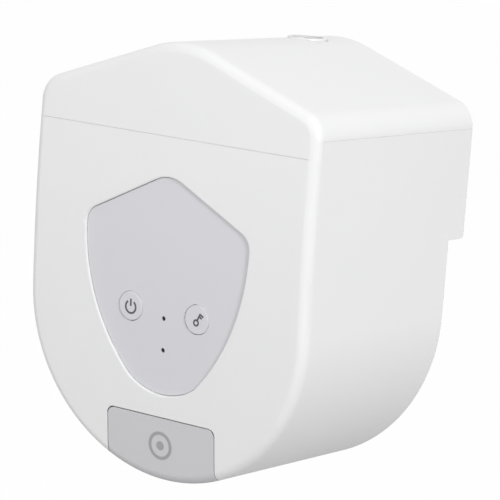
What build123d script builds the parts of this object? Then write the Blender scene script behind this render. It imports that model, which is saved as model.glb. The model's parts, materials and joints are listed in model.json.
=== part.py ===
"""Motor-driven controller that turns the lever of a water valve, built as an assembly.

Millimetres. +Z is up, the front with its keys faces -Y, and the valve is behind, towards +Y.
The origin is where the output axis meets the lower rear face, on which the pipe bracket is bolted.
"""

from build123d import *
from math import acos, atan2, cos, degrees, pi, radians, sin, sqrt, tan
import os

# Moulded body
half_width = 40.5
round_drop = 1.5
shoulder_height = 47.5
apex_height = 61.8
shoulder_radius = 6.5
apex_radius = 26.0
front_depth = 56.2
crown_radius = 500.0
crown_height = 28.5
front_edge_radius = 2.5
wall = 2.2
rear_step_depth = 6.3
rear_step_height = 16.8
step_edge_radius = 0.9
seam_front_height = 38.8
seam_gap = 0.15
side_seam_gap = 0.07

# General fits
overrun = 5.0
slide_gap = 0.25
running_gap = 0.05
flat_gap = 0.1
front_reach = 16.0

# Rear cover and its fixings
cover_wall = 2.4
cover_gap = 0.15
cover_boss_radius = 3.0
cover_screw_hole_radius = 1.15
cover_high_inset = 6.9
cover_high_z = 35.0
cover_low_inset = 5.8
cover_low_angle = 47.0
screw_head_radius = 2.3
screw_head_height = 1.5
screw_sink = 0.3
screw_shank_radius = 1.1
screw_reach = 8.0
rim_lip_wall = 1.4
rim_lip_height = 3.0

# Bracket fixing: four threaded inserts round the output axis
insert_spacing_x = 48.0
insert_spacing_z = 20.0
insert_radius = 2.6
insert_hole_radius = 1.65
insert_length = 6.5
pillar_radius = 4.2

# Control panel
panel_half_width = 23.8
panel_shoulder_z = 15.4
panel_peak_z = 30.6
panel_peak_radius = 9.0
panel_corner_radius = 4.2
panel_corner_z = 18.7
panel_side_share = 0.52
panel_side_x = 20.2
panel_low_x = 9.6
panel_low_z = -18.2
panel_bottom_z = -21.3
panel_recess = 0.8
panel_gap = 0.12
panel_rim = 1.5
window_edge_radius = 0.6
panel_flange = 1.0

# Keys and indicators
key_x = 9.7
key_z = -1.8
key_radius = 3.4
key_hole_gap = 0.08
key_proud = 0.35
key_edge_radius = 0.4
key_flange_radius = 4.1
key_flange = 0.8
key_stem_radius = 1.5
key_travel = 0.6
indicator_z = -3.2
sound_hole_z = -10.7
pinhole_radius = 0.62
insert_sink = 0.25

# Circuit board
board_side_gap = 9.1
board_low_margin = 7.3
board_high_z = 33.0
board_setback = 7.6
board_thickness = 1.6
board_corner_radius = 3.0
board_post_edge = 2.7
board_post_low_z = -14.8
board_post_high_z = 29.8
board_post_radius = 2.4
switch_side = 6.0
switch_body = 1.6
lamp_radius = 1.0
buzzer_radius = 4.5
buzzer_height = 2.6
radio_width = 15.0
radio_height = 11.0
radio_depth = 2.4
radio_z = 21.0
plug_width = 9.0
plug_height = 5.0
plug_depth = 6.0
plug_x = -17.0

# Gears, all with axes along Y
gear_floor_gap = 7.05
pressure_angle = 20.0
addendum_share = 0.75
dedendum_share = 1.0
flank_backlash = 0.16
output_teeth = 40
clutch_teeth = 12
drive_teeth = 12
output_face = 5.0
output_gear_front = -13.0
clutch_face = 4.0
clutch_front = -12.6
drive_end = -3.6
shaft_radius = 4.0

# Chassis plate between the gears and the motor
chassis_front = -16.0
chassis_thickness = 2.0
chassis_half_width = 29.0
chassis_half_height = 15.0
chassis_low_left = -9.0
chassis_low_right = 21.0
chassis_low_margin = 7.5
chassis_corner_radius = 3.0
chassis_screw_radius = 1.4
chassis_head_radius = 2.6
chassis_head_height = 1.6

# Motor and its reduction case
motor_x = 10.0
motor_z = -5.5
motor_radius = 10.0
motor_flat_share = 0.76
motor_front_gap = 3.1
case_depth = 8.0
case_drive_radius = 7.0
case_motor_radius = 11.5
drive_shaft_radius = 2.0
terminal_width = 2.0
terminal_thickness = 0.5
terminal_length = 0.9
terminal_spread_share = 0.5

# Output shaft, bushes, cam and lever fork
shaft_end = 6.0
bush_radius = 6.5
bush_flange_radius = 8.0
bush_flange = 1.4
cam_radius = 9.0
cam_low_radius = 7.6
cam_front = -7.4
cam_thickness = 2.0
limit_reach = 8.0
limit_height = 6.4
limit_depth = 5.2
limit_nub = 2.0
limit_gap = 0.3
fork_front = 0.8
fork_base = 6.7
fork_radius = 13.0
fork_gap = 12.0
fork_prong = 5.0
fork_half_height = 9.5
fork_end = 28.0
fork_edge_radius = 1.5
fork_screw_radius = 2.0
fork_screw_reach = 10.0
fork_head_radius = 3.6
fork_head_height = 2.2

# Clutch release
release_half_width = 15.9
release_top = -26.5
release_corner_radius = 1.8
release_travel = 4.8
release_depth = 6.0
release_wall = 1.9
release_tail_wall = 1.5
release_tail_lap = 1.2
plunger_radius = 2.0
plunger_end = -7.4
plunger_plate_half_width = 8.0
plunger_plate_up = 4.0
plunger_plate_down = 9.0
plunger_plate_depth = 1.8
collar_radius = 3.2
collar_width = 0.6
clip_radius = 3.4
clip_width = 0.5
spring_wire_radius = 0.45
spring_mean_radius = 3.3
spring_turns = 7

# Power socket on the ridge
socket_y = -6.5
socket_rim_radius = 4.8
socket_rim_height = 1.2
socket_seat_drop = 1.0
socket_barrel_radius = 3.9
socket_barrel_length = 13.0
socket_bore_radius = 2.9
socket_bore_depth = 9.5
socket_pin_radius = 1.0

# Places worked out from the sizes above
base_height = -half_width - round_drop
clutch_reach = output_teeth / 2 + clutch_teeth + addendum_share
tooth_module = (-base_height - wall - gear_floor_gap) / clutch_reach
slope = atan2(apex_height - shoulder_height, half_width)
seam_side_height = shoulder_height - shoulder_radius * tan((pi / 2 - slope) / 2)
ridge_height = apex_height - apex_radius * (1 / cos(slope) - 1)
apron_back = -front_depth + wall + seam_gap
clutch_z = -(output_teeth + clutch_teeth) * tooth_module / 2
drive_x = (clutch_teeth + drive_teeth) * tooth_module / 2
release_front = -front_depth + crown_radius - sqrt(crown_radius**2 - (crown_height - base_height) ** 2)
release_back = release_front + release_depth
window_back = release_back + release_travel + slide_gap
board_front = -front_depth + board_setback
board_back = board_front + board_thickness
board_half_width = half_width - wall - board_side_gap
board_low_z = sound_hole_z - board_low_margin
board_post_x = board_half_width - board_post_edge
motor_front = board_back + motor_front_gap
chassis_low_z = clutch_z - chassis_low_margin
cover_high_x = half_width - cover_high_inset
cover_low_x = (half_width - cover_low_inset) * cos(radians(cover_low_angle))
cover_low_z = -round_drop - (half_width - cover_low_inset) * sin(radians(cover_low_angle))
chassis_back = chassis_front + chassis_thickness
insert_places = [(sx * insert_spacing_x / 2, sz * insert_spacing_z / 2) for sx in (-1, 1) for sz in (-1, 1)]
cover_screw_places = [
    (-cover_high_x, cover_high_z, rear_step_depth),
    (cover_high_x, cover_high_z, rear_step_depth),
    (-cover_low_x, cover_low_z, 0),
    (cover_low_x, cover_low_z, 0),
]


def prism(face, y_from, y_to):
    """A face of the XZ plane drawn out along Y."""
    return extrude(Pos(0, y_to, 0) * face, amount=y_to - y_from)


def rod(x, z, radius, y_from, y_to):
    """A round bar along Y."""
    return Pos(x, (y_from + y_to) / 2, z) * Rot(90, 0, 0) * Cylinder(radius, y_to - y_from)


def block(x_range, y_range, z_range):
    """A box between two places on each axis."""
    sizes = [high - low for low, high in (x_range, y_range, z_range)]
    middle = [(high + low) / 2 for low, high in (x_range, y_range, z_range)]
    return Pos(*middle) * Box(*sizes)


def behind_front(depth):
    """All that lies deeper than this behind the crowned front surface."""
    return Pos(0, crown_radius - front_depth, crown_height) * Rot(0, 90, 0) * Cylinder(
        crown_radius - depth, 2 * (half_width + overrun)
    )


def front_layer(face, depth_from, depth_to):
    """A plate that follows the crowned front between two depths."""
    column = prism(face, -front_depth - overrun, -front_depth + front_reach)
    return (column & behind_front(depth_from)) - behind_front(depth_to)


def rounded_plate(x_range, z_range, radius):
    """A rectangle with round corners in the XZ plane."""
    width, height = x_range[1] - x_range[0], z_range[1] - z_range[0]
    middle = Pos((x_range[0] + x_range[1]) / 2, 0, (z_range[0] + z_range[1]) / 2)
    return middle * (Plane.XZ * RectangleRounded(width, height, radius))


def body_outline(inset=0):
    """Front view of the body: a round bottom, straight sides and a low gable."""
    low = ThreePointArc((-half_width, -round_drop), (0, base_height), (half_width, -round_drop))
    high = Polyline(
        (half_width, -round_drop), (half_width, shoulder_height), (0, apex_height),
        (-half_width, shoulder_height), (-half_width, -round_drop),
    )
    face = make_face(low + high)
    face = fillet(face.vertices().group_by(Axis.Y)[-1], apex_radius)
    face = fillet(face.vertices().group_by(Axis.Y)[-2], shoulder_radius)
    if inset:
        face = offset(face, -inset)
    return Plane.XZ * face


def panel_outline(grow=0):
    """Front view of the control panel: a shield with a low gable."""
    peak = (0, panel_peak_z)
    lines = Polyline(
        (-panel_half_width, panel_shoulder_z), (-panel_half_width, panel_corner_z), peak,
        (panel_half_width, panel_corner_z), (panel_half_width, panel_shoulder_z),
    )
    side_z = panel_shoulder_z + (panel_low_z - panel_shoulder_z) * panel_side_share
    shoulder = (panel_half_width, panel_shoulder_z)
    right = ThreePointArc(shoulder, (panel_side_x, side_z), (panel_low_x, panel_low_z))
    left = mirror(right, about=Plane.YZ)
    bottom = ThreePointArc((-panel_low_x, panel_low_z), (0, panel_bottom_z), (panel_low_x, panel_low_z))
    face = make_face(lines + right + left + bottom)
    face = fillet(face.vertices().group_by(Axis.Y)[-1], panel_peak_radius)
    face = fillet(face.vertices().group_by(Axis.Y)[-2], panel_corner_radius)
    if grow:
        face = offset(face, grow)
    return Plane.XZ * face


def body_block():
    """The outside of the body as one solid, with its rear step and rounded front edge."""
    solid = prism(body_outline(), -front_depth - overrun, rear_step_depth) & behind_front(0)
    solid = fillet(solid.faces().sort_by(Axis.Y)[0].edges(), front_edge_radius)
    side = half_width + overrun
    below = block((-side, side), (0, rear_step_depth + overrun), (-side, rear_step_height))
    solid -= below
    ledge = solid.edges().filter_by(Axis.X).filter_by_position(
        Axis.Z, rear_step_height - running_gap, rear_step_height + running_gap
    )
    return fillet(ledge.sort_by(Axis.Y)[-1], step_edge_radius)


def release_window(gap):
    """Front view of the opening for the release button, less a gap."""
    x_range = (-release_half_width + gap, release_half_width - gap)
    return rounded_plate(x_range, (base_height - overrun, release_top - gap), release_corner_radius)


def front_edges(solid, z_low, z_high):
    """Edges on the crowned front surface between two heights, within the window's width."""
    found = []
    for edge in solid.edges():
        places = [edge.position_at(share) for share in (0, 0.5, 1)]
        reach = [sqrt((p.Y - crown_radius + front_depth) ** 2 + (p.Z - crown_height) ** 2) for p in places]
        on_crown = all(abs(distance - crown_radius) < running_gap for distance in reach)
        inside = all(z_low < p.Z < z_high and abs(p.X) < panel_half_width + running_gap for p in places)
        if on_crown and inside:
            found.append(edge)
    return found


def cap_zone(gap):
    """The space that the roof cap takes: above the shoulders, and an apron down the front."""
    side = half_width + overrun
    top = apex_height + overrun
    deep = rear_step_depth + overrun
    side_gap = gap * side_seam_gap / seam_gap
    roof = block((-side, side), (-front_depth - overrun, deep), (seam_side_height + side_gap, top))
    apron = block((-side, side), (-front_depth - overrun, apron_back - gap), (seam_front_height + gap, top))
    return roof + apron


def gear_face(teeth, tooth_angle):
    """An involute gear with stub teeth. One tooth points along tooth_angle, in degrees from +X towards +Z."""
    pitch = teeth * tooth_module / 2
    base = pitch * cos(radians(pressure_angle))
    tip = pitch + addendum_share * tooth_module
    root = pitch - dedendum_share * tooth_module
    involute = tan(radians(pressure_angle)) - radians(pressure_angle)
    half_tooth = pi / (2 * teeth) - flank_backlash / (2 * pitch)
    start = max(base, root)
    flank = []
    for share in (0, 0.5, 1):
        radius = start + (tip - start) * share
        angle = acos(min(1, base / radius))
        flank.append((radius, half_tooth + involute - (tan(angle) - angle)))
    if root < base:
        flank.insert(0, (root, flank[0][1]))
    points = []
    for tooth in range(teeth):
        middle = radians(tooth_angle) + 2 * pi * tooth / teeth
        points += [(r * cos(middle - a), r * sin(middle - a)) for r, a in flank]
        points += [(r * cos(middle + a), r * sin(middle + a)) for r, a in reversed(flank)]
    return Plane.XZ * make_face(Polyline(*points, close=True))


def screw(x, z, head_y, head_radius, head_height, shank_radius, shank_end):
    """A pan-head screw along Y, with its head seated at head_y and its shank running to shank_end."""
    outward = 1 if shank_end < head_y else -1
    top = head_y + outward * head_height
    head = rod(x, z, head_radius, min(head_y, top), max(head_y, top))
    shank = rod(x, z, shank_radius, min(head_y, shank_end), max(head_y, shank_end))
    return head + shank


def make_body():
    """Main shell, roof cap and rear cover."""
    outside = body_block()
    inside = prism(body_outline(wall), -front_depth - overrun, rear_step_depth + overrun) & behind_front(wall)
    shell = outside - inside
    socket_seat = Pos(0, socket_y, ridge_height - socket_seat_drop + overrun / 2) * Cylinder(
        socket_rim_radius + slide_gap, overrun
    )
    socket_hole = Pos(0, socket_y, ridge_height) * Cylinder(socket_barrel_radius + running_gap, 2 * overrun)
    cap = (shell & cap_zone(seam_gap)) - socket_seat - socket_hole
    lip_low, lip_high = seam_side_height - rim_lip_height, seam_side_height + rim_lip_height
    for side in (-1, 1):
        outer = half_width - wall - cover_gap
        edges = sorted((side * outer, side * (outer - rim_lip_wall)))
        lip = block(edges, (apron_back + overrun, -cover_wall - overrun), (lip_low, lip_high))
        cap += lip - (prism(body_outline(wall), -front_depth, rear_step_depth) - inside)
    main = shell - cap_zone(0)
    main -= prism(panel_outline(), -front_depth - overrun, -front_depth + front_reach)
    main = fillet(front_edges(main, panel_bottom_z - running_gap, panel_peak_z), window_edge_radius)
    main -= prism(release_window(0), -front_depth - overrun, window_back)
    room = prism(body_outline(wall / 2), -front_depth + wall, rear_step_depth) & behind_front(wall / 2)
    for x, z, back in cover_screw_places:
        post = rod(x, z, cover_boss_radius, -front_depth, back - cover_wall) & room
        main += post
        main -= rod(x, z, cover_screw_hole_radius, back - cover_wall - screw_reach - overrun, back)
    for x in (-board_post_x, board_post_x):
        for z in (board_post_low_z, board_post_high_z):
            main += rod(x, z, board_post_radius, -front_depth, board_front) & room
            main -= rod(x, z, screw_shank_radius, board_front - overrun, board_front)
    return main, cap


def make_cover():
    """Rear cover with its raised upper part, the pillars for the bracket inserts and the bush hole."""
    edge = wall + cover_gap
    side = half_width + overrun
    plate = prism(body_outline(edge), -cover_wall, 0)
    tall = prism(body_outline(edge), -cover_wall, rear_step_depth)
    tall &= block((-side, side), (-cover_wall, rear_step_depth), (rear_step_height, apex_height))
    hollow = prism(body_outline(edge + cover_wall), -cover_wall - overrun, rear_step_depth - cover_wall)
    hollow &= block((-side, side), (-side, rear_step_depth), (rear_step_height + cover_wall, apex_height))
    cover = plate + tall - hollow
    for x, z in insert_places:
        cover += rod(x, z, pillar_radius, chassis_back, -cover_wall)
        cover -= rod(x, z, insert_radius, -insert_length, overrun)
        cover -= rod(x, z, chassis_screw_radius, chassis_back - overrun, -insert_length)
    cover -= rod(0, 0, bush_radius, -cover_wall - overrun, overrun)
    for x, z, back in cover_screw_places:
        cover -= rod(x, z, cover_boss_radius + slide_gap, -cover_wall - overrun, back - cover_wall)
        cover -= rod(x, z, screw_shank_radius + slide_gap, back - cover_wall - overrun, back + overrun)
        seat = back - screw_head_height - screw_sink
        cover -= rod(x, z, screw_head_radius + slide_gap, seat, back + overrun)
    return cover


def make_panel():
    """Panel plate, seated in the front window on a flange, and the inserts in its two pinholes."""
    plate = front_layer(panel_outline(-panel_gap), panel_recess, wall + panel_flange)
    flange = front_layer(panel_outline(panel_rim), wall, wall + panel_flange)
    panel = plate + flange
    deep = -front_depth + front_reach
    for x in (-key_x, key_x):
        panel -= rod(x, key_z, key_radius + key_hole_gap, -front_depth - overrun, deep)
    inserts = []
    for z in (indicator_z, sound_hole_z):
        panel -= rod(0, z, pinhole_radius, -front_depth - overrun, deep)
        face = Pos(0, 0, z) * (Plane.XZ * Circle(pinhole_radius - running_gap))
        inserts.append(front_layer(face, panel_recess + insert_sink, wall + panel_flange))
    return panel, Compound(children=inserts)


def make_key(x):
    """A round key with a flange that holds it behind the panel and a stem to its switch."""
    face = Pos(x, 0, key_z) * (Plane.XZ * Circle(key_radius))
    body = front_layer(face, panel_recess - key_proud, wall + panel_flange + running_gap)
    body = fillet(body.faces().sort_by(Axis.Y)[0].edges(), key_edge_radius)
    behind = wall + panel_flange + flat_gap
    skirt = Pos(x, 0, key_z) * (Plane.XZ * Circle(key_flange_radius))
    flange = front_layer(skirt, behind, behind + key_flange)
    core = front_layer(face, panel_recess + key_proud, behind + key_flange)
    stem = rod(x, key_z, key_stem_radius, -front_depth + behind, switch_top() - flat_gap - key_travel)
    return body + core + flange + stem


def switch_top():
    """The front end of a key switch's plunger, pressed or not."""
    return board_front - switch_body


def make_board():
    """Circuit board and what stands on it."""
    sides = (-board_half_width, board_half_width)
    outline = rounded_plate(sides, (board_low_z, board_high_z), board_corner_radius)
    board = prism(outline, board_front, board_back)
    for x in (-board_post_x, board_post_x):
        for z in (board_post_low_z, board_post_high_z):
            board -= rod(x, z, screw_shank_radius + running_gap, board_front - overrun, board_back + overrun)
    half = switch_side / 2
    switches = []
    for x in (-key_x, key_x):
        box = block((x - half, x + half), (switch_top(), board_front), (key_z - half, key_z + half))
        switches.append(box)
    lamp = rod(0, indicator_z, lamp_radius, switch_top(), board_front)
    lamp = fillet(lamp.faces().sort_by(Axis.Y)[0].edges(), lamp_radius / 2)
    buzzer = rod(0, sound_hole_z - buzzer_radius / 2, buzzer_radius, board_back, board_back + buzzer_height)
    radio = block(
        (-radio_width / 2, radio_width / 2), (board_back, board_back + radio_depth),
        (radio_z - radio_height / 2, radio_z + radio_height / 2),
    )
    plug = block(
        (plug_x - plug_width / 2, plug_x + plug_width / 2), (board_back, board_back + plug_depth),
        (-plug_height / 2, plug_height / 2),
    )
    return board, Compound(children=switches), lamp, buzzer, radio, plug


def make_chassis():
    """Plate that carries the motor, the front end of the output shaft and the clutch plunger."""
    sides = (-chassis_half_width, chassis_half_width)
    wide = rounded_plate(sides, (-chassis_half_height, chassis_half_height), chassis_corner_radius)
    low = rounded_plate((chassis_low_left, chassis_low_right), (chassis_low_z, 0), chassis_corner_radius)
    plate = prism(wide, chassis_front, chassis_back) + prism(low, chassis_front, chassis_back)
    plate &= prism(body_outline(wall + slide_gap), chassis_front, chassis_back)
    holes = [(x, z, chassis_screw_radius + running_gap) for x, z in insert_places]
    holes += [(x, z, cover_boss_radius + slide_gap) for x, z, back in cover_screw_places]
    holes.append((0, 0, bush_radius))
    holes.append((0, clutch_z, plunger_radius + running_gap))
    holes.append((drive_x, clutch_z, drive_shaft_radius + slide_gap))
    for x, z, radius in holes:
        plate -= rod(x, z, radius, chassis_front - overrun, chassis_back + overrun)
    return plate


def make_motor():
    """Small brushed motor and the flat reduction case that offsets its drive."""
    case_front = chassis_front - case_depth
    drive_end_disc = Pos(drive_x, clutch_z) * Circle(case_drive_radius)
    ends = drive_end_disc + Pos(motor_x, motor_z) * Circle(case_motor_radius)
    case = prism(Plane.XZ * make_hull(ends.edges()), case_front, chassis_front)
    pocket = chassis_front - case_depth / 2
    case -= rod(drive_x, clutch_z, drive_shaft_radius + slide_gap, pocket, chassis_front + overrun)
    can = rod(motor_x, motor_z, motor_radius, motor_front, case_front)
    flat = motor_radius * motor_flat_share
    height = (motor_z - motor_radius, motor_z + motor_radius)
    can &= block((motor_x - flat, motor_x + flat), (motor_front, case_front), height)
    spread = motor_radius * terminal_spread_share
    terminals = []
    for z in (motor_z - spread, motor_z + spread):
        terminals.append(
            block(
                (motor_x - terminal_width / 2, motor_x + terminal_width / 2),
                (motor_front - terminal_length, motor_front),
                (z - terminal_thickness / 2, z + terminal_thickness / 2),
            )
        )
    return case, can, Compound(children=terminals)


def make_output():
    """Output gear, shaft, cam, bushes and the fork that grips the valve's lever."""
    gear = prism(gear_face(output_teeth, -90), output_gear_front, output_gear_front + output_face)
    gear -= rod(0, 0, shaft_radius, output_gear_front - overrun, 0)
    shaft = rod(0, 0, shaft_radius, chassis_front, shaft_end)
    shaft -= rod(0, 0, fork_screw_radius, shaft_end - fork_screw_reach, shaft_end)
    cam_back = cam_front + cam_thickness
    cam = rod(0, 0, cam_low_radius, cam_front, cam_back)
    lobe = rod(0, 0, cam_radius, cam_front, cam_back)
    lobe &= block((-cam_radius, cam_radius), (cam_front, cam_back), (0, cam_radius))
    cam = cam + lobe - rod(0, 0, shaft_radius, cam_front - overrun, cam_back + overrun)
    back_bush = rod(0, 0, bush_radius, -cover_wall, 0)
    back_bush += rod(0, 0, bush_flange_radius, -cover_wall - bush_flange, -cover_wall)
    back_bush -= rod(0, 0, shaft_radius + running_gap, -cover_wall - overrun, overrun)
    front_bush = rod(0, 0, bush_radius, chassis_front, chassis_back)
    front_bush += rod(0, 0, bush_flange_radius, chassis_back, output_gear_front - flat_gap)
    front_bush -= rod(0, 0, shaft_radius + running_gap, chassis_front - overrun, chassis_back + overrun)
    fork_back = fork_front + fork_base
    fork = rod(0, 0, fork_radius, fork_front, fork_end)
    prong_edge = fork_gap / 2 + fork_prong
    prongs = block((-prong_edge, prong_edge), (fork_front, fork_end), (-fork_half_height, fork_half_height))
    fork &= prongs + rod(0, 0, fork_radius, fork_front, fork_back)
    fork -= block((-fork_gap / 2, fork_gap / 2), (fork_back, fork_end + overrun), (-fork_radius, fork_radius))
    fork = fillet(fork.faces().filter_by(Axis.Y).sort_by(Axis.Y)[-2:].edges(), fork_edge_radius)
    fork -= rod(0, 0, shaft_radius, fork_front - overrun, shaft_end)
    fork -= rod(0, 0, fork_screw_radius + slide_gap, 0, fork_end)
    thread_end = shaft_end - fork_screw_reach
    fork_screw = screw(0, 0, fork_back, fork_head_radius, fork_head_height, fork_screw_radius, thread_end)
    return gear, shaft, cam, back_bush, front_bush, fork, fork_screw


def make_limit_switches():
    """Two switches that the cam works at the ends of its turn."""
    found = []
    for side in (-1, 1):
        nub_end = cam_radius + limit_gap
        body = (side * (nub_end + limit_nub), side * (nub_end + limit_nub + limit_reach))
        nub = (side * nub_end, side * (nub_end + limit_nub))
        depth = (-cover_wall - limit_depth, -cover_wall)
        case = block(sorted(body), depth, (-limit_height / 2, limit_height / 2))
        tip_z = limit_nub / 2
        tip = block(sorted(nub), (cam_front, cam_front + cam_thickness), (-tip_z, tip_z))
        found.append(case + tip)
    return Compound(children=found)


def make_drive():
    """Long pinion on the reduction case's output shaft."""
    pinion_front = output_gear_front + flat_gap
    pinion = prism(Pos(drive_x, 0, clutch_z) * gear_face(drive_teeth, 180), pinion_front, drive_end)
    shaft_start = chassis_front - case_depth / 2 + flat_gap
    return pinion + rod(drive_x, clutch_z, drive_shaft_radius, shaft_start, pinion_front)


def make_clutch():
    """Sliding idler gear, the plunger that carries it, its clip and the return spring."""
    idler_angle = 90 + 180 / clutch_teeth
    teeth = Pos(0, 0, clutch_z) * gear_face(clutch_teeth, idler_angle)
    idler = prism(teeth, clutch_front, clutch_front + clutch_face)
    idler -= rod(0, clutch_z, plunger_radius + running_gap, clutch_front - overrun, 0)
    plate_front = release_back
    plate_back = plate_front + plunger_plate_depth
    plunger = rod(0, clutch_z, plunger_radius, plate_front, plunger_end)
    collar_back = clutch_front - flat_gap
    plunger += rod(0, clutch_z, collar_radius, collar_back - collar_width, collar_back)
    plunger += prism(
        rounded_plate(
            (-plunger_plate_half_width, plunger_plate_half_width),
            (clutch_z - plunger_plate_down, clutch_z + plunger_plate_up), release_corner_radius,
        ),
        plate_front, plate_back,
    )
    clip_front = clutch_front + clutch_face + flat_gap
    clip = rod(0, clutch_z, clip_radius, clip_front, clip_front + clip_width)
    clip -= rod(0, clutch_z, plunger_radius, clip_front - overrun, clip_front + overrun)
    spring_front = plate_back + spring_wire_radius
    spring_length = chassis_front - spring_wire_radius - spring_front
    path = Helix(spring_length / spring_turns, spring_length, spring_mean_radius)
    wire = sweep(Plane(path @ 0, z_dir=path % 0) * Circle(spring_wire_radius), path=path, is_frenet=True)
    spring = Pos(0, spring_front, clutch_z) * Rot(-90, 0, 0) * wire
    return idler, plunger, clip, spring


def make_release_button(outside):
    """Release button: a cap flush with the front and round bottom, and a tail that slides in the shell."""
    column = prism(release_window(slide_gap), -front_depth - overrun, release_back)
    cap = outside & column
    inner = prism(body_outline(wall), -front_depth - overrun, release_back) & behind_front(wall)
    edge = slide_gap + release_wall
    inner &= prism(release_window(edge), -front_depth - overrun, release_back)
    cap -= inner
    tail_edge = wall + slide_gap
    tail_x = release_half_width - slide_gap
    tail_start = release_back - release_wall
    tail_height = (base_height, release_top - edge)
    hollow = prism(body_outline(tail_edge + release_tail_wall), -front_depth, 0)
    tail = prism(body_outline(tail_edge), -front_depth, 0) - hollow
    tail &= block((-tail_x, tail_x), (tail_start, window_back + release_tail_lap), tail_height)
    step = prism(body_outline(wall / 2), -front_depth, 0) - hollow
    step &= block((-tail_x, tail_x), (tail_start, release_back), tail_height)
    return cap + tail + step


def make_socket():
    """Barrel socket for the low-voltage supply, let into the ridge of the roof."""
    seat = ridge_height - socket_seat_drop
    rim = Pos(0, socket_y, seat + socket_rim_height / 2) * Cylinder(socket_rim_radius, socket_rim_height)
    rim = fillet(rim.faces().sort_by(Axis.Z)[-1].edges(), socket_rim_height / 4)
    bore_top = seat + socket_rim_height
    rim -= Pos(0, socket_y, bore_top) * Cylinder(socket_barrel_radius, 2 * socket_rim_height + overrun)
    barrel = Pos(0, socket_y, bore_top - socket_barrel_length / 2 - socket_rim_height / 4) * Cylinder(
        socket_barrel_radius, socket_barrel_length - socket_rim_height / 2
    )
    bore_middle = bore_top - socket_bore_depth / 2
    barrel -= Pos(0, socket_y, bore_middle) * Cylinder(socket_bore_radius, socket_bore_depth)
    pin = Pos(0, socket_y, bore_top - socket_bore_depth / 2 - socket_rim_height / 2) * Cylinder(
        socket_pin_radius, socket_bore_depth - socket_rim_height
    )
    return rim, barrel, pin


def make_fasteners():
    """Cover, board and chassis screws, and the bracket inserts."""
    cover = [
        screw(
            x, z, back - screw_head_height - screw_sink, screw_head_radius, screw_head_height,
            screw_shank_radius, back - cover_wall - screw_reach,
        )
        for x, z, back in cover_screw_places
    ]
    board = [
        screw(
            x, z, board_back, screw_head_radius, screw_head_height, screw_shank_radius, board_front - overrun
        )
        for x in (-board_post_x, board_post_x)
        for z in (board_post_low_z, board_post_high_z)
    ]
    chassis = [
        screw(
            x, z, chassis_front, chassis_head_radius, chassis_head_height,
            chassis_screw_radius, -insert_length - flat_gap,
        )
        for x, z in insert_places
    ]
    inserts = [
        rod(x, z, insert_radius, -insert_length, 0) - rod(x, z, insert_hole_radius, -insert_length, overrun)
        for x, z in insert_places
    ]
    return [Compound(children=group) for group in (cover, board, chassis, inserts)]


def main():
    os.makedirs("parts", exist_ok=True)
    nodes = {}
    nodes["main_shell"], nodes["roof_cap"] = make_body()
    nodes["rear_cover"] = make_cover()
    nodes["control_panel"], nodes["pinhole_inserts"] = make_panel()
    nodes["control_key"], nodes["reset_key"] = make_key(-key_x), make_key(key_x)
    board_names = ("main_board", "key_switches", "status_lamp", "buzzer", "radio_shield", "board_connector")
    nodes.update(zip(board_names, make_board()))
    nodes["chassis_plate"] = make_chassis()
    nodes["reduction_case"], nodes["motor"], nodes["motor_terminals"] = make_motor()
    output_names = (
        "output_gear", "output_shaft", "position_cam", "rear_bush", "front_bush", "lever_fork", "fork_screw",
    )
    nodes.update(zip(output_names, make_output()))
    nodes["limit_switches"] = make_limit_switches()
    nodes["drive_pinion"] = make_drive()
    nodes.update(zip(("clutch_gear", "release_plunger", "plunger_clip", "release_spring"), make_clutch()))
    nodes["release_button"] = make_release_button(body_block())
    nodes["socket_rim"], nodes["socket_barrel"], nodes["socket_pin"] = make_socket()
    nodes.update(zip(("cover_screws", "board_screws", "chassis_screws", "bracket_inserts"), make_fasteners()))
    for name, shape in nodes.items():
        export_step(shape, f"parts/{name}.step")


main()
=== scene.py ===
import json
from math import cos, pi, radians, sin

import bmesh
import bpy
from mathutils import Matrix, Vector


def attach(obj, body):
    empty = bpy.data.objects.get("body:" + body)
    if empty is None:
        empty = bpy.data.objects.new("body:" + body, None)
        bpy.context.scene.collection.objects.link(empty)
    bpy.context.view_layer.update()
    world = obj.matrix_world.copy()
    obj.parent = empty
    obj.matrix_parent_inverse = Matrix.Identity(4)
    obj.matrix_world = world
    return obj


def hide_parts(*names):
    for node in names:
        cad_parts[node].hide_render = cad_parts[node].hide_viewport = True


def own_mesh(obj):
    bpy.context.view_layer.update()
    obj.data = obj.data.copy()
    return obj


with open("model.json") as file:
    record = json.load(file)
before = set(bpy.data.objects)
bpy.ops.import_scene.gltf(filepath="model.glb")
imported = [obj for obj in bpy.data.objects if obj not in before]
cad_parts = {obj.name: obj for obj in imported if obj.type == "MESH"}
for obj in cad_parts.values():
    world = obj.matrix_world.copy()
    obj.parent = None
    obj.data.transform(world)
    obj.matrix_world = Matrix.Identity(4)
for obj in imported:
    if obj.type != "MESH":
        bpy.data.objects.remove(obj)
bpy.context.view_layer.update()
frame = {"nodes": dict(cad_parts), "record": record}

bpy.ops.object.select_all(action="DESELECT")


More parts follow.
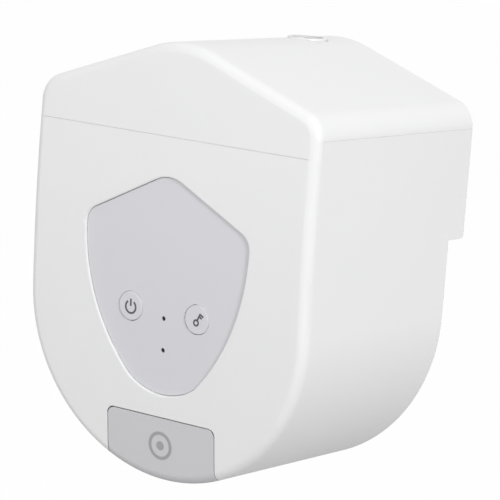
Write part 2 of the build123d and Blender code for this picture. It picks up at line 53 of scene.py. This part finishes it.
# Main shell: an injection-moulded ABS tub that makes the sides, the round bottom and the lower front.
# The real one is satin white with a very fine spark texture, and every outer edge is slightly rounded.
# The roof cap sits on its rim, and the rear cover is screwed to it from behind.
class Wire:
    """A node socket that takes part in sums and products."""

    def __init__(self, tree, socket):
        self.tree, self.socket = tree, socket

    @classmethod
    def node(cls, tree, kind, settings=None, output=0, **inputs):
        """Adds a node: its settings first, then its inputs by name, or by number as i0, i1 and so on."""
        made = tree.nodes.new(kind)
        for key, value in (settings or {}).items():
            setattr(made, key, value)
        for key, value in inputs.items():
            numbered = key[0] == "i" and key[1:].isdigit()
            socket = made.inputs[int(key[1:]) if numbered else key.replace("_", " ")]
            if isinstance(value, Wire):
                tree.links.new(value.socket, socket)
            else:
                socket.default_value = value
        return cls(tree, made.outputs[output])

    def maths(self, operation, other):
        return Wire.node(self.tree, "ShaderNodeMath", {"operation": operation}, i0=self, i1=other)

    def __add__(self, other):
        return self.maths("ADD", other)

    def __mul__(self, other):
        return self.maths("MULTIPLY", other)

    __radd__ = __add__
    __rmul__ = __mul__


def moulded(name, colour, roughness, grain_size, grain_depth, edge=0.0, mottle=0.012, coat=0.0, metal=0.0):
    """Plastic or metal with fine grain: cloudy colour, uneven gloss and a small bump.

    edge rounds the sharp corners, and mottle is how far the clouds stray from the colour.
    """
    clouds_per_metre, cloud_detail, grain_detail = 45.0, 3.0, 2.0
    cloud_gloss, grain_gloss, bump_strength = 0.06, 0.05, 0.6
    material = bpy.data.materials.new(name)
    material.use_nodes = True
    tree = material.node_tree
    shader = tree.nodes["Principled BSDF"]
    place = Wire.node(tree, "ShaderNodeTexCoord", output="Object")
    clouds = Wire.node(tree, "ShaderNodeTexNoise", Vector=place, Scale=clouds_per_metre, Detail=cloud_detail)
    grain = Wire.node(tree, "ShaderNodeTexNoise", Vector=place, Scale=1 / grain_size, Detail=grain_detail)
    pale = [min(1.0, share * (1 + mottle)) for share in colour] + [1.0]
    deep = [share * (1 - mottle) for share in colour] + [1.0]
    tint = Wire.node(tree, "ShaderNodeMix", {"data_type": "RGBA"}, output=2, i0=clouds, i6=deep, i7=pale)
    tree.links.new(tint.socket, shader.inputs["Base Color"])
    gloss = clouds * cloud_gloss + grain * grain_gloss + (roughness - (cloud_gloss + grain_gloss) / 2)
    tree.links.new(gloss.socket, shader.inputs["Roughness"])
    shader.inputs["Metallic"].default_value = metal
    shader.inputs["Coat Weight"].default_value = coat
    bump = {"Height": grain, "Distance": grain_depth, "Strength": bump_strength}
    if edge:
        bump["Normal"] = Wire.node(tree, "ShaderNodeBevel", {"samples": 6}, Radius=edge)
    surface = Wire.node(tree, "ShaderNodeBump", **bump)
    tree.links.new(surface.socket, shader.inputs["Normal"])
    return material


def flat_faces(mesh):
    """The indices of faces that lie in one plane with at least a few neighbours."""
    fewest, level_angle = 4, 0.0005
    shape = bmesh.new()
    shape.from_mesh(mesh)
    group = {}
    for start in shape.faces:
        if start in group:
            continue
        found, waiting = [start], [start]
        group[start] = found
        while waiting:
            for edge in waiting.pop().edges:
                if len(edge.link_faces) == 2 and edge.calc_face_angle() < level_angle:
                    for face in edge.link_faces:
                        if face not in group:
                            group[face] = found
                            found.append(face)
                            waiting.append(face)
    flat = {face.index for face, found in group.items() if len(found) >= fewest}
    shape.free()
    return flat


# The front, ahead of front_depth, is part of a large barrel round an axis along X. The bottom is part of
# one round an axis along Y.
crown_y, crown_z, front_depth = 0.4438, 0.0285, -0.045
bottom_z, body_radius = -0.0015, 0.0405

# The rounded edge of the panel's window lies within these sides, foot and top, and ahead of this depth.
window_side, window_foot, window_top, window_depth = 0.026, -0.026, 0.033, -0.0535


def even_out(mesh):
    """Gives the mesh the normals of the moulded faces.

    A flat has one normal, and the front and the bottom have those of their barrels. An upright face stays
    upright down to its foot. The window's edge turns late, which makes its glint as fine as that of a
    smaller rounding.
    """
    crown_match, belly_match, belly_slack = 0.9996, 0.98, 0.00002
    nearly_upright, drooping = 0.05, -0.1
    first_turn, last_turn = 0.01, 0.99
    normals = [corner.vector.copy() for corner in mesh.corner_normals]
    flat = flat_faces(mesh)
    for face in mesh.polygons:
        for corner in face.loop_indices:
            place = mesh.vertices[mesh.loops[corner].vertex_index].co
            crown = Vector((0, place.y - crown_y, place.z - crown_z)).normalized()
            out = Vector((place.x, 0, min(0, place.z - bottom_z)))
            belly = out.normalized()
            on_belly = abs(out.length - body_radius) < belly_slack
            at_window = abs(place.x) < window_side and window_foot < place.z < window_top
            if face.normal.dot(crown) > crown_match and place.y < front_depth:
                normals[corner] = crown
            elif on_belly and face.normal.dot(belly) > belly_match:
                normals[corner] = belly
            elif face.index in flat:
                normals[corner] = face.normal.copy()
            elif abs(face.normal.z) < nearly_upright and normals[corner].z < drooping:
                normals[corner].z = face.normal.z
                normals[corner].normalize()
            elif at_window and place.y < window_depth:
                turn = normals[corner].angle(crown) / (pi / 2)
                if first_turn < turn < last_turn:
                    normals[corner] = crown.slerp(normals[corner], turn ** 2)
    mesh.normals_split_custom_set([tuple(normal) for normal in normals])


def skin(node, body, material, name, sharp=30):
    """A smooth copy of a CAD solid, merged into one mesh, which stands for it.

    Edges that turn by more than sharp, in degrees, stay crisp.
    """
    same_point = 0.000001
    piece = frame["nodes"][node].copy()
    piece.data = frame["nodes"][node].data.copy()
    piece.name = name
    piece.parent = None
    bpy.context.scene.collection.objects.link(piece)
    bpy.ops.object.select_all(action="DESELECT")
    piece.select_set(True)
    bpy.context.view_layer.objects.active = piece
    bpy.ops.object.mode_set(mode="EDIT")
    bpy.ops.mesh.select_all(action="SELECT")
    bpy.ops.mesh.remove_doubles(threshold=same_point)
    bpy.ops.object.mode_set(mode="OBJECT")
    bpy.ops.object.shade_smooth_by_angle(angle=radians(sharp))
    weigh = piece.modifiers.new("even_faces", "WEIGHTED_NORMAL")
    weigh.keep_sharp = True
    bpy.ops.object.modifier_apply(modifier=weigh.name)
    even_out(piece.data)
    piece.data.materials.clear()
    piece.data.materials.append(material)
    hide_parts(node)
    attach(piece, body)
    return piece


white = {"colour": (0.82, 0.82, 0.822), "roughness": 0.36, "grain_size": 0.0005, "grain_depth": 0.00001}
white_abs = moulded("white_abs", **white, edge=0.00014)
skin("main_shell", "housing", white_abs, "main_shell_skin")


# Roof cap: the same white ABS, a separate gabled moulding whose two lips slide down inside the shell's sides.
# Its apron comes down the front and leaves the fine seam across the face.
cap_abs = moulded("cap_abs", **white, edge=0.00004)
roof_cap = skin("roof_cap", "housing", cap_abs, "roof_cap_skin")


def close_gap(piece, axis, place, shift, outside=0.0):
    """Shifts the points that lie at one place along an axis, which narrows the gap beside them.

    Those nearer to the middle in X than outside stay where they are.
    """
    same_place = 0.000005
    for point in piece.data.vertices:
        if abs(point.co[axis] - place) < same_place and abs(point.co.x) >= outside:
            point.co[axis] += shift


# The parting line is finer to the eye than the clearance of the solids. In turn these are the apron's
# foot, the apron's back, the rim along the sides, and the foot where it goes round the corners.
along_y, along_z = 1, 2
foot_z, foot_shift = 0.03895, -0.0001
back_y, back_shift = -0.054, 0.0001
rim_z, rim_shift = 0.042972, -0.00004
corner_x, corner_shift = 0.0382, -0.000045
close_gap(roof_cap, along_z, foot_z, foot_shift)
close_gap(roof_cap, along_y, back_y, back_shift)
close_gap(roof_cap, along_z, rim_z, rim_shift)
close_gap(roof_cap, along_z, foot_z + foot_shift, corner_shift, corner_x)


# Rear cover: a plate of the same white ABS with a raised upper part, and four pillars moulded on its inside.
# Four sunk screws hold it to the posts of the shell, and the pillars carry brass inserts for the bracket.
skin("rear_cover", "housing", white_abs, "rear_cover_skin")


# Control panel: a pale grey shield of satin ABS with a finer grain than the shell.
# It is let into the window from behind and rests against the shell with a flange.
panel_grey = (0.67, 0.667, 0.70)
panel_abs = moulded("panel_abs", panel_grey, roughness=0.5, grain_size=0.00035, grain_depth=0.000008,
                    edge=0.0002)
control_panel = skin("control_panel", "housing", panel_abs, "control_panel_skin")


def set_hole(piece, x, z, radius, share, drift=(0, 0)):
    """Draws the rim of a hole along Y in or out to a share of its radius, and moves it by drift."""
    slack = radius / 20
    for point in piece.data.vertices:
        off = Vector((point.co.x - x, 0, point.co.z - z))
        if abs(off.length - radius) < slack:
            point.co += off * (share - 1) + Vector((drift[0], 0, drift[1]))


# The pinholes look a little smaller than their bores, and each key lies a hair off the middle of its hole,
# within its play.
pinhole_radius, pinhole_share = 0.00062, 0.88
for pinhole_z in (-0.0032, -0.0107):
    set_hole(control_panel, 0, pinhole_z, pinhole_radius, pinhole_share)
key_x, key_z, key_hole_radius, key_hole_share = 0.0097, -0.0018, 0.00348, 1.012
key_drift = (-0.00006, -0.00003)
for side in (-1, 1):
    set_hole(control_panel, side * key_x, key_z, key_hole_radius, key_hole_share, key_drift)


# Pinhole inserts: a smoked lens in front of the lamp and a black gauze over the sounder.
# Both are pressed into the panel and lie a little below its face.
smoked = moulded("smoked_black", (0.005, 0.005, 0.006), roughness=0.7, grain_size=0.0002,
                 grain_depth=0.000004)
skin("pinhole_inserts", "housing", smoked, "pinhole_insert_skins")


# Keys: two round press keys of the panel's grey, held behind it by a flange and pushed out by their switches.
# The left one has the usual power sign and the right one a small key, both printed in dark ink.
key_abs = moulded("key_abs", panel_grey, roughness=0.48, grain_size=0.0003, grain_depth=0.000006, edge=0.0005)
fine_ink = {"roughness": 0.6, "grain_size": 0.0002, "grain_depth": 0.000004}
dark_ink = moulded("dark_ink", (0.10, 0.10, 0.11), **fine_ink)
control_key = skin("control_key", "control_key", key_abs, "control_key_skin", 40)
reset_key = skin("reset_key", "reset_key", key_abs, "reset_key_skin", 40)


def printed(name, flats, target, body, ink):
    """Ink laid on a face: flat outlines in the XZ plane, dropped along Y onto the target and thickened."""
    thickness, well_ahead, same_point = 0.00003, -0.07, 0.0000001
    bpy.ops.object.select_all(action="DESELECT")
    bpy.ops.mesh.primitive_plane_add(size=0.001)
    piece = bpy.context.object
    piece.name = name
    bpy.ops.object.mode_set(mode="EDIT")
    bpy.ops.mesh.delete(type="VERT")
    mesh = bmesh.from_edit_mesh(piece.data)
    for outline in flats:
        mesh.faces.new([mesh.verts.new((x, well_ahead, z)) for x, z in outline])
    bmesh.update_edit_mesh(piece.data)
    bpy.ops.mesh.select_all(action="SELECT")
    bpy.ops.mesh.quads_convert_to_tris()
    bpy.ops.mesh.remove_doubles(threshold=same_point)
    bpy.ops.mesh.subdivide(number_cuts=1)
    bpy.ops.mesh.normals_make_consistent(inside=False)
    bpy.ops.object.mode_set(mode="OBJECT")
    drop = piece.modifiers.new("drop", "SHRINKWRAP")
    drop.target, drop.wrap_method, drop.use_project_y = target, "PROJECT", True
    drop.use_negative_direction, drop.use_positive_direction = False, True
    drop.offset = thickness
    bpy.ops.object.modifier_apply(modifier=drop.name)
    layer = piece.modifiers.new("layer", "SOLIDIFY")
    layer.thickness, layer.offset = thickness, 0.0
    bpy.ops.object.modifier_apply(modifier=layer.name)
    piece.data.materials.append(ink)
    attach(piece, body)


def arc(centre, inner, outer, start=0, end=360, steps=28):
    """A ring, or its arc from start to end degrees, as one quad a step."""
    quads = []
    for step in range(steps):
        a, b = (radians(start + (end - start) * (step + k) / steps) for k in (0, 1))
        quads.append([(centre[0] + r * cos(t), centre[1] + r * sin(t))
                      for r, t in ((inner, a), (outer, a), (outer, b), (inner, b))])
    return quads


def bar(start, end, line):
    """A straight stroke between two points of the XZ plane."""
    start, end = Vector(start), Vector(end)
    beside = (end - start).orthogonal().normalized() * line / 2
    return [tuple(point) for point in (start - beside, end - beside, end + beside, start + beside)]


# The power sign is a ring, drawn between two angles that leave a gap at the top, with a stroke in the gap.
sign_x, sign_z, sign_radius, sign_line = -0.0095, -0.0020, 0.00148, 0.00046
ring_start, ring_end = 125, 415
stroke_foot, stroke_head = 0.0002, 0.0019
power = arc((sign_x, sign_z), sign_radius - sign_line / 2, sign_radius + sign_line / 2, ring_start, ring_end)
power.append(bar((sign_x, sign_z + stroke_foot), (sign_x, sign_z + stroke_head), sign_line))
printed("power_sign", power, control_key, "control_key", dark_ink)

# The key sign has a round bow, a slanting shaft and two teeth, of which the one at the tip is longer.
bow, shaft, tooth = Vector((0.0097, -0.0025)), Vector((0.46, 0.89)), Vector((0.88, -0.47))
key_line, bow_radius, shaft_length = 0.00042, 0.00064, 0.0026
tip_tooth, inner_tooth, inner_tooth_back = 0.0011, 0.0009, 0.0008
key_sign = arc(bow, bow_radius - key_line / 2, bow_radius + key_line / 2)
key_sign.append(bar(bow + shaft * bow_radius, bow + shaft * shaft_length, key_line))
for back, length in ((key_line / 2, tip_tooth), (inner_tooth_back, inner_tooth)):
    root = bow + shaft * (shaft_length - back)
    key_sign.append(bar(root, root + tooth * length, key_line))
printed("key_sign", key_sign, reset_key, "reset_key", dark_ink)


# Release button: mid-grey ABS, flush with the foot of the front, with a tail that slides in the shell.
# A steel plunger with a spring backs it, and a ring and dot in grey ink are printed where it is pressed.
button_abs = moulded("button_abs", (0.60, 0.597, 0.615), roughness=0.48, grain_size=0.0004,
                     grain_depth=0.000012, edge=0.00022)
button_ink = moulded("button_ink", (0.36, 0.36, 0.37), **fine_ink)
release_button = skin("release_button", "release", button_abs, "release_button_skin", 35)
press_z, press_radius, press_line, dot_radius = -0.0334, 0.0034, 0.0008, 0.0011
press_sign = arc((0, press_z), press_radius - press_line, press_radius, steps=48)
press_sign += arc((0, press_z), 0, dot_radius, steps=24)
printed("press_sign", press_sign, release_button, "release", button_ink)


# Supply socket: a white ABS rim let into a seat on the ridge, and a black nylon barrel held tight in the rim.
# A plated pin stands in the middle of the barrel.
skin("socket_rim", "housing", white_abs, "socket_rim_skin")
black_nylon = moulded("black_nylon", (0.03, 0.03, 0.032), roughness=0.5, grain_size=0.0004,
                      grain_depth=0.00001, edge=0.00015)
skin("socket_barrel", "housing", black_nylon, "socket_barrel_skin")


# Lever fork: black glass-filled nylon, moulded in one with two round-edged prongs that take the lever.
# It is pressed onto the end of the output shaft, and a screw between the prongs holds it there.
skin("lever_fork", "output", black_nylon, "lever_fork_skin")


# Inside and fixings: gears of cream acetal, plated and turned metal, the green board and black switch bodies.
# They keep their CAD meshes, because only the screws and inserts show once the case is shut.
acetal = moulded("cream_acetal", (0.78, 0.74, 0.64), roughness=0.4, grain_size=0.0006, grain_depth=0.00001)
board_green = moulded("board_green", (0.02, 0.16, 0.07), roughness=0.3, grain_size=0.0008,
                      grain_depth=0.00001, mottle=0.15, coat=0.4)
plated = moulded("zinc_plate", (0.62, 0.63, 0.65), roughness=0.3, grain_size=0.0003,
                 grain_depth=0.00001, mottle=0.06, metal=1.0)
steel = moulded("ground_steel", (0.56, 0.57, 0.58), roughness=0.35, grain_size=0.0002,
                grain_depth=0.00001, mottle=0.05, metal=1.0)
brass = moulded("turned_brass", (0.75, 0.56, 0.27), roughness=0.3, grain_size=0.0002,
                grain_depth=0.00001, mottle=0.06, metal=1.0)
spring_wire = moulded("spring_wire", (0.42, 0.43, 0.45), roughness=0.3, grain_size=0.0002,
                      grain_depth=0.000005, mottle=0.05, metal=1.0)
lens = moulded("lamp_lens", (0.85, 0.9, 0.92), roughness=0.15, grain_size=0.0004, grain_depth=0.000005)
finishes = {
    "cream_nylon": acetal, "board_green": board_green, "zinc": plated, "steel": steel, "brass": brass,
    "spring_steel": spring_wire, "lamp_clear": lens, "black_plastic": black_nylon, "white_shell": white_abs,
    "panel_grey": panel_abs, "button_grey": button_abs, "key_grey": key_abs,
}
for entry in frame["record"]["subparts"]:
    cad_piece = frame["nodes"][entry["node"]]
    for holder in cad_piece.material_slots:
        holder.material = finishes[entry["material_slot"]]


# Return spring: hard-drawn steel wire, coiled round the release plunger between its plate and the chassis.
# Its back end rests on the chassis plate. The real one shortens when the release button goes in, but this
# copy keeps one length and rides with the housing.
release_spring = skin("release_spring", "housing", spring_wire, "release_spring_skin", 60)
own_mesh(release_spring)


# Floor and surround: a pale table far below and a broad sky that fades to nothing towards the ground.
# Both are plain white to the camera, and the table still takes the object's shadow.
floor_size, floor_z, floor_grey, floor_roughness = 6, -0.16, (0.45, 0.45, 0.45, 1), 0.9
floor_share_seen, floor_share_mirrored = 0.985, 0.5
sky_low, sky_high, sky_strength = -0.5, 0.3, 0.70
white_light = (1, 1, 1, 1)


def rays(tree, *kinds):
    """One for the kinds of ray that are named, and nought for all others."""
    found = [Wire.node(tree, "ShaderNodeLightPath", output=f"Is {kind} Ray") for kind in kinds]
    return sum(found[1:], found[0])


bpy.ops.object.select_all(action="DESELECT")
bpy.ops.mesh.primitive_plane_add(size=floor_size, location=(0, 0, floor_z))
floor = bpy.context.object
floor.name = "floor"
floor_paint = bpy.data.materials.new("floor_paint")
floor_paint.use_nodes = True
tree = floor_paint.node_tree
paint = tree.nodes["Principled BSDF"]
paint.inputs["Base Color"].default_value = floor_grey
paint.inputs["Roughness"].default_value = floor_roughness
seen = rays(tree, "Camera", "Transmission") * floor_share_seen + rays(tree, "Glossy") * floor_share_mirrored
glow = Wire.node(tree, "ShaderNodeEmission", Color=white_light, Strength=1.0)
mixed = Wire.node(tree, "ShaderNodeMixShader", i0=seen, i1=Wire(tree, paint.outputs[0]), i2=glow)
tree.links.new(mixed.socket, tree.nodes["Material Output"].inputs["Surface"])
floor.data.materials.append(floor_paint)

world = bpy.context.scene.world or bpy.data.worlds.new("studio")
bpy.context.scene.world = world
world.use_nodes = True
tree = world.node_tree
surround = tree.nodes["Background"]
surround.inputs["Color"].default_value = white_light
direction = Wire.node(tree, "ShaderNodeTexCoord", output="Generated")
height = Wire.node(tree, "ShaderNodeSeparateXYZ", output="Z", Vector=direction)
sky = Wire.node(tree, "ShaderNodeMapRange", Value=height, i1=sky_low, i2=sky_high, i3=0.0, i4=sky_strength)
tree.links.new(sky.socket, surround.inputs["Strength"])
backdrop = Wire.node(tree, "ShaderNodeBackground", Color=white_light, Strength=1.0)
seen = rays(tree, "Camera", "Glossy", "Transmission")
mixed = Wire.node(tree, "ShaderNodeMixShader", i0=seen, i1=Wire(tree, surround.outputs[0]), i2=backdrop)
tree.links.new(mixed.socket, tree.nodes["World Output"].inputs["Surface"])


# Lamps: a key light from the right, a broad one in front and a faint one above.
# They keep to a plain level, at which a colour shows about as it is written.
def softbox(name, place, size, power):
    """A square area lamp that looks at the middle of the object."""
    middle = Vector((0, -0.025, 0.01))
    lamp = bpy.data.lights.new(name, "AREA")
    lamp.shape, lamp.size, lamp.energy = "SQUARE", size, power
    stand = bpy.data.objects.new(name, lamp)
    bpy.context.scene.collection.objects.link(stand)
    stand.location = place
    stand.rotation_euler = (middle - Vector(place)).to_track_quat("-Z", "Y").to_euler()


softbox("key_light", (1.1, -0.56, 0.45), size=0.26, power=7.8)
softbox("front_light", (-0.35, -1.22, 0.2), size=0.9, power=3.6)
softbox("ceiling_light", (0.1, -0.4, 1.1), size=0.9, power=0.8)


# Camera: where the photograph was taken from, worked out from its straight edges and round keys.
# The angles are in degrees, and aim is the point in the middle of the picture.
aim, distance = Vector((0.024586, -0.0565, 0.016786)), 0.620946
yaw, pitch, roll = (radians(angle) for angle in (36.352, 9.178, 4.288))
eye = bpy.data.cameras.new("camera")
eye.sensor_width, eye.lens = 36.0, 201.36
camera = bpy.data.objects.new("camera", eye)
bpy.context.scene.collection.objects.link(camera)
forward = Vector((-sin(yaw) * cos(pitch), cos(yaw) * cos(pitch), -sin(pitch)))
level = Vector((cos(yaw), sin(yaw), 0))
upright = level.cross(forward)
across = cos(roll) * level + sin(roll) * upright
up = cos(roll) * upright - sin(roll) * level
position = aim - forward * distance
camera.matrix_world = Matrix((
    (across.x, up.x, -forward.x, position.x),
    (across.y, up.y, -forward.y, position.y),
    (across.z, up.z, -forward.z, position.z),
    (0, 0, 0, 1),
))
bpy.context.scene.camera = camera
bpy.context.scene.view_settings.view_transform = "Standard"
